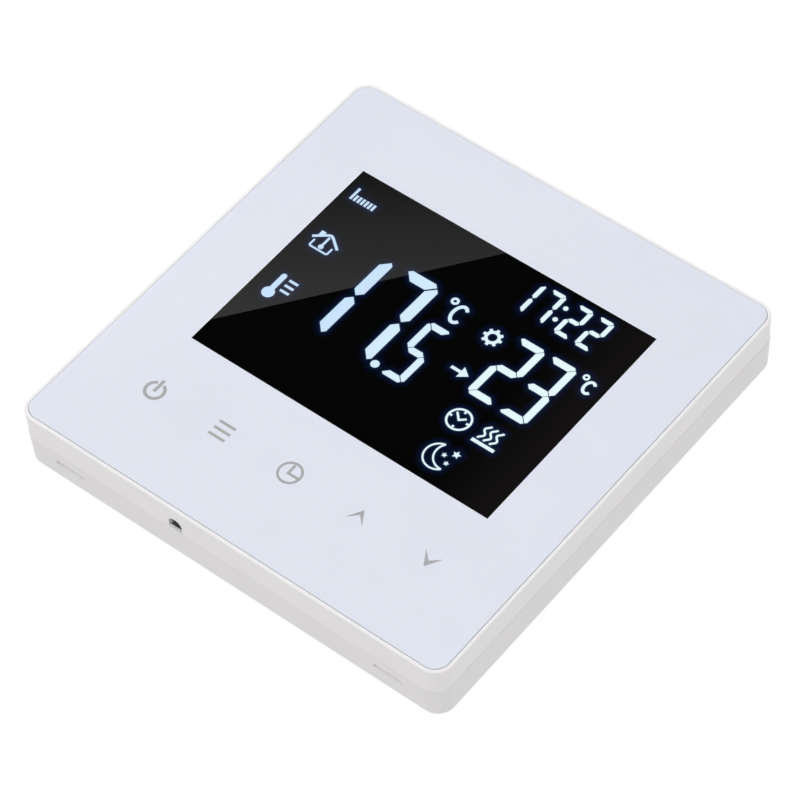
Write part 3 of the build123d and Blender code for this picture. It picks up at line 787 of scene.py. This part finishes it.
def thermometer_symbol(mark):
    """A thermometer with three marks beside it."""
    x, bulb, top, half, bulb_radius = -26.35, -7.4, -3.3, 0.5, 1.12
    tick_start, tick_end, tick_line = 1.3, 3.1, 0.46
    mark.disc(x, bulb, bulb_radius)
    mark.stroke([(x, bulb), (x, top)], 2 * half)
    mark.disc(x, top, half, segments=20)
    for level in (-5.9, -4.7, -3.5):
        mark.stroke([(x + tick_start, level), (x + tick_end, level)], tick_line)


def clock_symbol(mark):
    """A clock face with four ticks and two hands."""
    x, z, outer, inner, line = 14.8, -9.5, 2.24, 1.88, 0.36
    tick_ends = 1.9, 1.42
    hands = (-1.15, 1.05), (0.0, -0.12), (0.95, 0.72)
    mark.ring(x, z, outer, inner)
    for quarter in range(4):
        mark.stroke([spot(x, z, radius, 90.0 * quarter) for radius in tick_ends], line)
    mark.stroke([(x + across, z + up) for across, up in hands], line)


def heating_symbol(mark):
    """Three waves rising from a bar."""
    bar_left, bar_right, bar_level, bar_line = 18.7, 23.1, -11.3, 0.6
    top, foot, swing, line = -7.55, -10.6, 0.34, 0.35
    bends, steps = 3, 24
    mark.stroke([(bar_left, bar_level), (bar_right, bar_level)], bar_line)
    for x in (19.6, 20.8, 22.0):
        shares = [step / steps for step in range(steps + 1)]
        wave = [(x + swing * math.cos(bends * math.pi * s), top + (foot - top) * s) for s in shares]
        mark.stroke(wave, line)


def night_symbol(mark):
    """A crescent moon in outline, with three stars."""
    moon, shadow = Vector((16.7, -17.16)), Vector((18.26, -16.3))
    moon_radius, shadow_radius, width, segments = 2.68, 2.48, 0.3, 72
    stars = (18.8, -15.25, 0.75), (17.25, -16.4, 0.48), (18.5, -17.55, 0.48)
    tips, inner_share = 5, 0.48
    apart = shadow - moon
    facing = math.degrees(math.atan2(apart.y, apart.x))
    inward = facing + 180.0
    moon_line, shadow_line = moon_radius - width / 2, shadow_radius + width / 2
    opened = crossing_angle(apart.length, moon_line, shadow_line)
    bitten = crossing_angle(apart.length, shadow_line, moon_line)
    mark.ring(*moon, moon_radius, moon_radius - width, facing + opened, facing + 360.0 - opened, segments)
    mark.ring(*shadow, shadow_radius + width, shadow_radius, inward - bitten, inward + bitten, segments)
    for x, z, radius in stars:
        radii = radius, radius * inner_share
        corners = range(2 * tips)
        mark.polygon(spot(x, z, radii[corner % 2], 90.0 + 180.0 * corner / tips) for corner in corners)


class THERMOSTAT_OT_symbols(Operator):
    """Build the lit symbols: day row, house, thermometer, clock, heating and night"""

    bl_idname = "thermostat.symbols"
    bl_label = "Display symbols"

    def execute(self, context):
        symbols = day_row, house_symbol, thermometer_symbol, clock_symbol, heating_symbol, night_symbol
        lit_pieces(context.scene, symbols)
        return {"FINISHED"}


# Display window


def spread_glow(bm, reach):
    """Note on each point of the window how near the lit marks are."""
    marks = bmesh.new()
    for mesh in bpy.data.meshes:
        if mesh.materials and mesh.materials[0].name == LIT:
            marks.from_mesh(mesh)
    nearest = BVHTree.FromBMesh(marks)
    glow = bm.verts.layers.float.new(GLOW)
    for vert in bm.verts:
        _, _, _, distance = nearest.find_nearest(vert.co)
        vert[glow] = max(0.0, 1.0 - distance / reach)
    marks.free()


class THERMOSTAT_OT_window(Operator):
    """Build the dark window, flush with the white glass, and spread the marks' light in it"""

    bl_idname = "thermostat.window"
    bl_label = "Display window"

    def execute(self, context):
        glass, display = context.scene.thermostat_glass, context.scene.thermostat_display
        width, height = glass.window_width, glass.window_height
        columns, rows = round(width / display.glow_cell), round(height / display.glow_cell)
        bm = flat_grid(width, height, columns, rows)
        middle = glass.window_x, GLASS_HIGH.y, glass.window_z
        bmesh.ops.transform(bm, matrix=stand_up(middle), verts=bm.verts)
        thicken(bm, GLASS_HIGH.y - FRONT)
        spread_glow(bm, display.glow_reach)
        piece(bm, "glass_window", [glowing_glass("black_glass", glass, display)])
        return {"FINISHED"}


# Key marks: all places are in millimetres from the key's middle


def key_power(mark):
    """A ring open at the top, with a bar in the opening."""
    middle, outer, inner, half_gap = -0.2, 1.93, 1.35, 23.0
    bar_top, bar_foot, bar_width = 2.2, -0.45, 0.6
    mark.ring(0.0, middle, outer, inner, 90.0 + half_gap, 450.0 - half_gap, segments=64)
    mark.stroke([(0.0, bar_top), (0.0, bar_foot)], bar_width)


def key_menu(mark):
    """Three bars."""
    half, pitch, width = 1.65, 1.4, 0.5
    for level in (-pitch, 0.0, pitch):
        mark.stroke([(-half, level), (half, level)], width)


def key_clock(mark):
    """A clock face at three o'clock."""
    middle, outer, inner = 0.05, 2.2, 1.76
    elbow_x, elbow_z, hour_end, minute_end, width = -0.22, -0.15, 1.78, 1.7, 0.48
    mark.ring(0.0, middle, outer, inner, segments=64)
    mark.stroke([(elbow_x, minute_end), (elbow_x, elbow_z), (hour_end, elbow_z)], width)


def key_up(mark):
    """A chevron that points up."""
    tip, notch, left, right = (0.0, 1.4), (0.0, 0.27), (-1.66, -1.35), (1.7, -1.35)
    mark.polygon([tip, left, notch, right])


def key_down(mark):
    """A chevron that points down."""
    tip, notch, left, right = (0.0, -1.5), (0.0, -0.2), (-1.66, 1.35), (1.7, 1.3)
    mark.polygon([tip, right, notch, left])


class THERMOSTAT_OT_keys(Operator):
    """Print the marks of the five touch keys on the glass"""

    bl_idname = "thermostat.keys"
    bl_label = "Key marks"

    def execute(self, context):
        keys = context.scene.thermostat_keys
        ink = key_print("key_grey", keys.grey)
        marks = key_power, key_menu, key_clock, key_up, key_down
        for number, draw in enumerate(marks):
            x = keys.middle + (number - len(marks) // 2) * keys.pitch
            mark_piece(draw, x, keys.row, keys.lift, ink)
        return {"FINISHED"}


# Boards and the parts on them


class Moulding(NamedTuple):
    """CAD nodes that share one moulded finish, with its grain in millimetres."""

    nodes: tuple
    finish: str
    colour: tuple
    roughness: float
    grain: float


BLACK_PARTS = "socket_header", "header_body", "controller_chip", "power_chip", "relay"
MOULDED_PARTS = (
    Moulding(BLACK_PARTS, "black_moulding", (0.018, 0.018, 0.02), roughness=0.5, grain=0.2),
    Moulding(("transformer",), "winding_tape", (0.72, 0.50, 0.05), roughness=0.3, grain=0.6),
    Moulding(("suppression_capacitor",), "film_yellow", (0.70, 0.52, 0.06), roughness=0.45, grain=0.3),
    Moulding(("electrolytic_capacitors",), "can_sleeve", (0.02, 0.03, 0.09), roughness=0.25, grain=0.4),
    Moulding(("varistor",), "varistor_blue", (0.03, 0.10, 0.32), roughness=0.35, grain=0.3),
    Moulding(("fuse",), "fuse_brown", (0.16, 0.05, 0.03), roughness=0.4, grain=0.3),
    Moulding(("room_sensor",), "sensor_bead", (0.03, 0.03, 0.035), roughness=0.25, grain=0.2),
    Moulding(("lcd_frame",), "frame_white", (0.78, 0.78, 0.76), roughness=0.5, grain=0.3),
    Moulding(("backlight_lamps",), "lamp_resin", (0.85, 0.78, 0.42), roughness=0.3, grain=0.2),
)
PANEL_DARK = (0.012, 0.012, 0.014)
# The inner display panel's lighter right side is a painted reflection, like the window's
PANEL_PAINTED_LIGHT = (0.02, 0.02, 0.022)
GUIDE_TINT = (0.82, 0.90, 0.90)
PAD_GREY = (0.10, 0.10, 0.11)


class THERMOSTAT_OT_boards(Operator):
    """Finish the two boards and the parts on them"""

    bl_idname = "thermostat.boards"
    bl_label = "Boards and parts"

    def execute(self, context):
        inside = context.scene.thermostat_inside
        for parts in MOULDED_PARTS:
            finish = moulded_plastic(parts.finish, parts.colour, parts.roughness, parts.grain * MM)
            dress(finish, *parts.nodes)
        brass = plated_metal("contact_brass", inside.brass, roughness=0.28, lay=(1.0, 0.2, 1.0))
        panel = window_glass("panel_glass", PANEL_DARK, PANEL_PAINTED_LIGHT, gloss=0.3, reach=32 * MM)
        dress(circuit_board("board_green", inside.board, inside.trace), "display_board", "power_board")
        dress(brass, "header_pins", "terminal_contacts")
        dress(panel.material, "lcd_panel")
        dress(clear_acrylic("guide_acrylic", GUIDE_TINT), "light_guide")
        dress(foam("pad_foam", PAD_GREY), "touch_pads")
        return {"FINISHED"}


# Screws of the boards and the mounting plate


class ScrewKind(NamedTuple):
    """A kind of screw: its head's radius and rise and its shank's radius, in millimetres.

    Its facing is 1 where the heads face the wall, and -1 where they face the room.
    """

    node: str
    body: str
    head: float
    rise: float
    shank: float
    facing: int


SCREW_KINDS = (
    ScrewKind("display_board_screws", FRONT_BODY, head=1.9, rise=1.2, shank=1.0, facing=1),
    ScrewKind("mounting_plate_screws", BASE_BODY, head=2.4, rise=1.0, shank=1.25, facing=-1),
    ScrewKind("power_board_screws", BASE_BODY, head=1.9, rise=1.2, shank=1.0, facing=-1),
)
PLACE_DIGITS = 6
MERGE_DISTANCE = 0.0001 * MM


def pan_head_screw(kind, length, pitch):
    """One screw with its head up and its seat at the origin."""
    head, rise, shank = kind.head * MM, kind.rise * MM, kind.shank * MM
    core = shank - 0.3 * pitch
    tip = 0.4 * core
    rim_top, shoulder, shoulder_top, recess = 0.4 * rise, 0.86 * head, 0.82 * rise, 0.62 * head
    arm, half, sink, taper = 0.8 * recess, 0.2 * recess, 0.7 * rise, 0.7
    profile = [(0.0, -length), (tip, -length), (core, shank - length)]
    for turn in range(int((length - shank) / pitch)):
        foot = shank - length + turn * pitch
        profile += [(shank, foot + pitch / 2), (core, foot + pitch)]
    profile += [(core, 0.0), (head, 0.0), (head, rim_top), (shoulder, shoulder_top), (recess, rise)]
    bm = bmesh.new()
    line = [bm.verts.new((radius, 0.0, height)) for radius, height in profile]
    runs = [bm.edges.new(pair) for pair in zip(line, line[1:])]
    bmesh.ops.spin(
        bm, geom=line + runs, cent=(0.0, 0.0, 0.0), axis=(0.0, 0.0, 1.0), angle=2 * math.pi, steps=40,
        use_merge=True,
    )
    bmesh.ops.remove_doubles(bm, verts=bm.verts[:], dist=MERGE_DISTANCE)
    rim = [edge for edge in bm.edges if edge.is_boundary]
    quarter = ((arm, -half), (arm, half), (half, half))
    turns = [Matrix.Rotation(step * QUARTER_TURN, 3, "Z") for step in range(4)]
    cross = closed_line(bm, (turn @ Vector((x, y, rise)) for turn in turns for x, y in quarter))
    bmesh.ops.bridge_loops(bm, edges=rim + cross)
    sunk = points_of(bmesh.ops.extrude_edge_only(bm, edges=cross))
    bmesh.ops.scale(bm, vec=(taper, taper, 1.0), verts=sunk)
    bmesh.ops.translate(bm, vec=(0.0, 0.0, -sink), verts=sunk)
    bmesh.ops.edgeloop_fill(bm, edges=[edge for edge in bm.edges if edge.is_boundary])
    bmesh.ops.recalc_face_normals(bm, faces=bm.faces[:])
    return bm


class THERMOSTAT_OT_screws(Operator):
    """Build the pan-head screws of the boards and the mounting plate, with cross recess and thread"""

    bl_idname = "thermostat.screws"
    bl_label = "Screws"

    def execute(self, context):
        inside = context.scene.thermostat_inside
        steel = turned_steel(inside)
        for kind in SCREW_KINDS:
            low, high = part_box(kind.node)
            radius, rise = kind.head * MM, kind.rise * MM
            seat, tip = (high.y - rise, low.y) if kind.facing > 0 else (low.y + rise, high.y)
            # The heads fill the corners of their node's box, or its two ends where it is one head wide
            across = sorted({round(x, PLACE_DIGITS) for x in (low.x + radius, high.x - radius)})
            up = sorted({round(z, PLACE_DIGITS) for z in (low.z + radius, high.z - radius)})
            places = [Vector((x, seat, z)) for x in across for z in up]
            bm = pan_head_screw(kind, abs(seat - tip), inside.thread_pitch)
            turn = Matrix.Rotation(-kind.facing * QUARTER_TURN, 4, "X")
            bmesh.ops.transform(bm, matrix=Matrix.Translation(places[0]) @ turn, verts=bm.verts)
            first = bm.verts[:] + bm.edges[:] + bm.faces[:]
            for place in places[1:]:
                copied = points_of(bmesh.ops.duplicate(bm, geom=first))
                bmesh.ops.translate(bm, vec=place - places[0], verts=copied)
            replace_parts(piece(bm, f"{kind.node}_pan_head", [steel], kind.body), kind.node)
        return {"FINISHED"}


# Mounting plate and terminals


class THERMOSTAT_OT_metalwork(Operator):
    """Finish the mounting plate, the terminal block, its screws and its cages"""

    bl_idname = "thermostat.metalwork"
    bl_label = "Plate and terminals"

    def execute(self, context):
        inside = context.scene.thermostat_inside
        sheet = plated_metal("zinc_sheet", inside.steel, roughness=0.34, lay=(0.08, 1.0, 1.0))
        nickel = plated_metal("nickel_cage", inside.nickel, roughness=0.26, lay=(1.0, 0.3, 1.0))
        block = moulded_plastic("terminal_grey", inside.terminal, roughness=0.5, grain=0.25 * MM)
        dress(sheet, "mounting_plate")
        dress(turned_steel(inside), *(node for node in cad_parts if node.startswith("terminal_screw")))
        dress(nickel, *(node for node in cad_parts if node.startswith("terminal_cage")))
        dress(block, "terminal_block")
        return {"FINISHED"}


# Stage: places and sizes are in metres, and the camera is the one that fits the photograph's edges

CAMERA_PLACE = Vector((0.250475, -0.482148, -0.277283))
CAMERA_RIGHT = Vector((0.780538, 0.047924, 0.623268))
CAMERA_AHEAD = Vector((-0.411764, 0.789601, 0.454952))
CAMERA_CLIP = 0.01
FLOOR_RADIUS = 12.0
LAMP_PLACE = Vector((-0.1, -0.95, -0.58))
LAMP_SIZE = 0.7


def place_camera(scene, lens):
    """A camera at the photograph's point of view."""
    data = bpy.data.cameras.new("camera")
    data.lens = lens
    data.clip_start = CAMERA_CLIP
    made = scene_object("camera", data)
    turn = Matrix((CAMERA_RIGHT, CAMERA_RIGHT.cross(CAMERA_AHEAD), -CAMERA_AHEAD)).transposed()
    made.matrix_world = Matrix.LocRotScale(CAMERA_PLACE, turn, None)
    scene.camera = made


def light_world(scene, ambient):
    """Even light from all round, which the camera, mirrors and glass see as plain white."""
    world = bpy.data.worlds.new("studio")
    light = Shading(world, "Background")
    path = light.node("ShaderNodeLightPath").outputs
    seen = path["Is Camera Ray"]
    for name in ("Is Glossy Ray", "Is Transmission Ray"):
        seen = light.mix("FLOAT", path[name], seen, 1.0)
    light.set(Color=opaque(WHITE), Strength=light.span(seen, low=ambient))
    scene.world = world


def lay_floor(stage):
    """A wide pale floor under the object."""
    bm = bmesh.new()
    level = Matrix.Translation((0.0, 0.0, stage.floor_level))
    bmesh.ops.create_circle(bm, cap_ends=True, segments=64, radius=FLOOR_RADIUS, matrix=level)
    paper = moulded_plastic("floor_paper", stage.floor_tint, roughness=0.8, grain=4 * MM)
    made = mesh_object(bm, "floor", [paper])


def hang_key_lamp(power):
    """A large soft lamp in front and a little below."""
    data = bpy.data.lights.new("key_lamp", "AREA")
    data.shape = "DISK"
    data.size = LAMP_SIZE
    data.energy = power
    made = scene_object("key_lamp", data)
    made.matrix_world = Matrix.LocRotScale(LAMP_PLACE, LAMP_PLACE.to_track_quat("Z", "Y"), None)


def hang_strip_lamp(glass, brightness):
    """A strip lamp above on the left, whose edge the dark window mirrors as a slanting sheen."""
    sheen_down, sheen_across = 39.6 * MM, 30.12 * MM
    reach, length_share, width_share = 3.0, 2.4, 1.38
    fade_turn, fade_past, faintest = math.radians(16.0), 0.2, 0.05
    # The sheen's edge runs from the window's left side to its upper side
    half = Vector((glass.window_width, 0.0, glass.window_height)) / 2
    corner = Vector((glass.window_x - half.x, FRONT, glass.window_z + half.z))
    start = corner - Vector((0.0, 0.0, sheen_down))
    end = corner + Vector((sheen_across, 0.0, 0.0))
    mirrored = Vector((CAMERA_PLACE.x, 2 * FRONT - CAMERA_PLACE.y, CAMERA_PLACE.z))
    near, far, outer = (point + (point - mirrored) * reach for point in (start, end, corner))
    along = (far - near).normalized()
    outward = outer - near
    outward -= along * outward.dot(along)
    length, width = length_share * (far - near).length, width_share * outward.length
    outward.normalize()
    bm = flat_grid(length, width)
    bmesh.ops.translate(bm, vec=(0.0, width / 2, 0.0), verts=bm.verts)
    finish = Finish("strip_light")
    fade = finish.span(
        finish.along("Y", turn=(0.0, 0.0, fade_turn)), low=(1.0 + fade_past) * brightness, high=faintest,
        start=-fade_past * width, stop=width,
    )
    finish.set(Base_Color=opaque(BLACK), Emission_Color=opaque(WHITE), Emission_Strength=fade)
    made = mesh_object(bm, "strip_lamp", [finish.material])
    turn = Matrix((along, outward, along.cross(outward))).transposed()
    made.matrix_world = Matrix.LocRotScale((near + far) / 2, turn, None)


class THERMOSTAT_OT_stage(Operator):
    """Set up the floor, the light and the camera"""

    bl_idname = "thermostat.stage"
    bl_label = "Stage"

    def execute(self, context):
        scene = context.scene
        scene.view_settings.view_transform = "Standard"
        stage = scene.thermostat_stage
        place_camera(scene, stage.lens)
        light_world(scene, stage.ambient)
        lay_floor(stage)
        hang_key_lamp(stage.key_power)
        hang_strip_lamp(scene.thermostat_glass, stage.sheen)
        return {"FINISHED"}


# Sidebar and start


class THERMOSTAT_PT_panel(Panel):
    """Buttons for every group of pieces, and their settings"""

    bl_label = "Wall Thermostat"
    bl_space_type = "VIEW_3D"
    bl_region_type = "UI"
    bl_category = "Thermostat"

    def draw(self, context):
        for step in STEPS:
            self.layout.operator(step.bl_idname, text=step.bl_label)
        for name in SETTINGS:
            group = getattr(context.scene, name)
            box = self.layout.box()
            for field in group.__annotations__:
                box.prop(group, field)


STEPS = (
    THERMOSTAT_OT_case,
    THERMOSTAT_OT_glass,
    THERMOSTAT_OT_readings,
    THERMOSTAT_OT_symbols,
    THERMOSTAT_OT_window,
    THERMOSTAT_OT_keys,
    THERMOSTAT_OT_boards,
    THERMOSTAT_OT_screws,
    THERMOSTAT_OT_metalwork,
    THERMOSTAT_OT_stage,
)


def register():
    """Register the settings, the operators and the panel."""
    for name, group in SETTINGS.items():
        bpy.utils.register_class(group)
        setattr(bpy.types.Scene, name, PointerProperty(type=group))
    for step in STEPS:
        bpy.utils.register_class(step)
    bpy.utils.register_class(THERMOSTAT_PT_panel)


def unregister():
    """Take the panel, the operators and the settings away again."""
    bpy.utils.unregister_class(THERMOSTAT_PT_panel)
    for step in reversed(STEPS):
        bpy.utils.unregister_class(step)
    for name, group in SETTINGS.items():
        delattr(bpy.types.Scene, name)
        bpy.utils.unregister_class(group)


def main():
    """Build the thermostat and its stage."""
    register()
    for step in STEPS:
        family, action = step.bl_idname.split(".")
        getattr(getattr(bpy.ops, family), action)()


if __name__ == "__main__":
    main()
